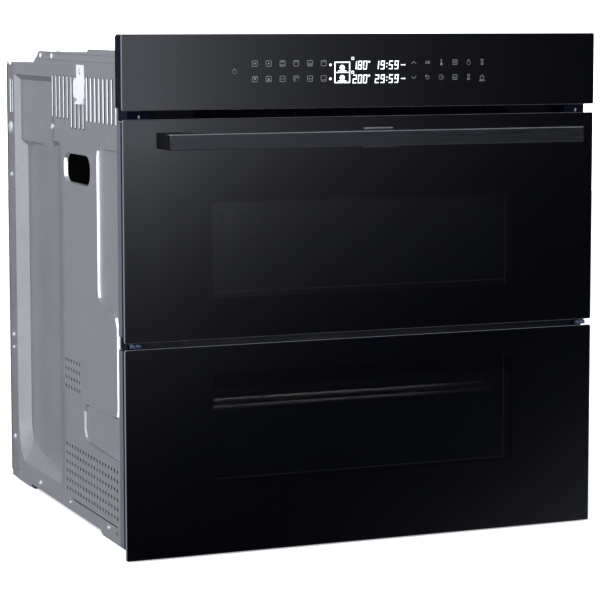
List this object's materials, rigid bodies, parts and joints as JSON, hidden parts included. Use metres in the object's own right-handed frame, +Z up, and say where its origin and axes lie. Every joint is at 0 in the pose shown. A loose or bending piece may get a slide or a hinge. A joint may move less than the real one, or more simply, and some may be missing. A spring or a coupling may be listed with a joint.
{
  "type": "wall oven",
  "caption": "Built-in electric oven with a two-part folding glass door, bar handle with release lever, touch control panel and a divided fan cavity.",
  "frame": {"origin": "middle of the whole object's footprint, on the surface that the oven stands on", "axes": "+X to the user's right as they face the door, +Y from the door towards the rear of the cabinet, +Z up"},
  "size_m": [0.595, 0.616, 0.596],
  "materials": {
    "galvanised_steel": "galvanised sheet, satin with fine spangle",
    "plated_steel": "bright zinc plate",
    "black_glass": "toughened glass, black printed back, ground edges",
    "clear_glass": "heat-reflecting coated glass",
    "black_plastic": "fine texture, matte",
    "dark_anodised": "brushed along its length, dark anodised",
    "enamel": "vitreous enamel, fine pale flecks",
    "chrome_wire": "bright chrome on steel wire",
    "heater_sheath": "heat-darkened steel tube",
    "seal_rubber": "matte silicone profile",
    "mineral_wool": "matted fibre blanket",
    "circuit_board": "solder mask over laminate",
    "motor_steel": "pressed steel, satin",
    "fan_metal": "mill finish sheet",
    "lamp_glass": "clear borosilicate lens"
  },
  "bodies": {
    "cabinet": {"side_panel_right": "galvanised_steel", "side_panel_left": "galvanised_steel", "side_clip_right": "plated_steel", "side_clip_left": "plated_steel", "top_cover": "galvanised_steel", "base_pan": "galvanised_steel", "rear_cover": "galvanised_steel", "front_frame": "enamel", "component_deck": "galvanised_steel", "cavity_liner": "enamel", "insulation_blanket": "mineral_wool", "door_seal": "seal_rubber", "side_rack_right": "chrome_wire", "side_rack_left": "chrome_wire", "upper_lamp": "lamp_glass", "lower_lamp": "lamp_glass", "grill_element": "heater_sheath", "floor_element": "heater_sheath", "upper_ring_element": "heater_sheath", "upper_fan_motor": "motor_steel", "upper_fan_cover": "enamel", "lower_ring_element": "heater_sheath", "lower_fan_motor": "motor_steel", "lower_fan_cover": "enamel", "air_duct": "galvanised_steel", "cooling_housing": "galvanised_steel", "cooling_motor": "motor_steel", "power_board": "circuit_board", "terminal_box": "black_plastic", "control_glass": "black_glass", "control_frame": "black_plastic", "touch_board": "circuit_board", "display_module": "black_plastic", "hinge_arm_right": "plated_steel", "hinge_arm_left": "plated_steel", "hinge_receiver_right": "plated_steel", "hinge_receiver_left": "plated_steel"},
    "lower_door": {"lower_outer_glass": "black_glass", "lower_middle_glass": "clear_glass", "lower_inner_glass": "clear_glass", "lower_door_frame": "black_plastic", "door_hinge_right": "plated_steel", "door_hinge_left": "plated_steel", "split_hinge_lower_right": "plated_steel", "split_hinge_lower_left": "plated_steel"},
    "upper_door": {"upper_outer_glass": "black_glass", "upper_middle_glass": "clear_glass", "upper_inner_glass": "clear_glass", "upper_door_frame": "black_plastic", "split_hinge_upper_right": "plated_steel", "split_hinge_upper_left": "plated_steel", "handle_bar": "dark_anodised", "handle_post_right": "black_plastic", "handle_post_left": "black_plastic"},
    "lever": {"release_lever": "dark_anodised"},
    "shelf": {"wire_shelf": "chrome_wire"},
    "divider": {"divider_plate": "enamel"},
    "upper_rotor": {"upper_fan": "fan_metal"},
    "lower_rotor": {"lower_fan": "fan_metal"},
    "cooling_rotor": {"cooling_impeller": "fan_metal"}
  },
  "joints": [
    {"name": "whole_door_hinge", "type": "hinge", "parent": "cabinet", "child": "lower_door", "pos_m": [0, -0.252, 0.024], "axis": [1, 0, 0], "range_deg": [0, 90], "stiffness_Nm_per_rad": 6, "springref_deg": -20.05},
    {"name": "upper_door_hinge", "type": "hinge", "parent": "lower_door", "child": "upper_door", "pos_m": [0, -0.257, 0.2464], "axis": [1, 0, 0], "range_deg": [0, 90], "stiffness_Nm_per_rad": 1.2, "springref_deg": -22.92},
    {"name": "lever_press", "type": "hinge", "parent": "upper_door", "child": "lever", "pos_m": [0, -0.2915, 0.468], "axis": [1, 0, 0], "range_deg": [0, 7], "stiffness_Nm_per_rad": 0.3, "springref_deg": -20.05},
    {"name": "shelf_slide", "type": "slide", "parent": "cabinet", "child": "shelf", "axis": [0, -1, 0], "range_m": [0, 0.03]},
    {"name": "divider_slide", "type": "slide", "parent": "cabinet", "child": "divider", "axis": [0, -1, 0], "range_m": [0, 0.03]},
    {"name": "upper_fan_spin", "type": "hinge", "parent": "cabinet", "child": "upper_rotor", "pos_m": [0, 0.204, 0.345], "axis": [0, 1, 0], "continuous": true},
    {"name": "lower_fan_spin", "type": "hinge", "parent": "cabinet", "child": "lower_rotor", "pos_m": [0, 0.204, 0.153], "axis": [0, 1, 0], "continuous": true},
    {"name": "cooling_fan_spin", "type": "hinge", "parent": "cabinet", "child": "cooling_rotor", "pos_m": [0, 0.202, 0.5], "axis": [0, 0, 1], "continuous": true}
  ]
}
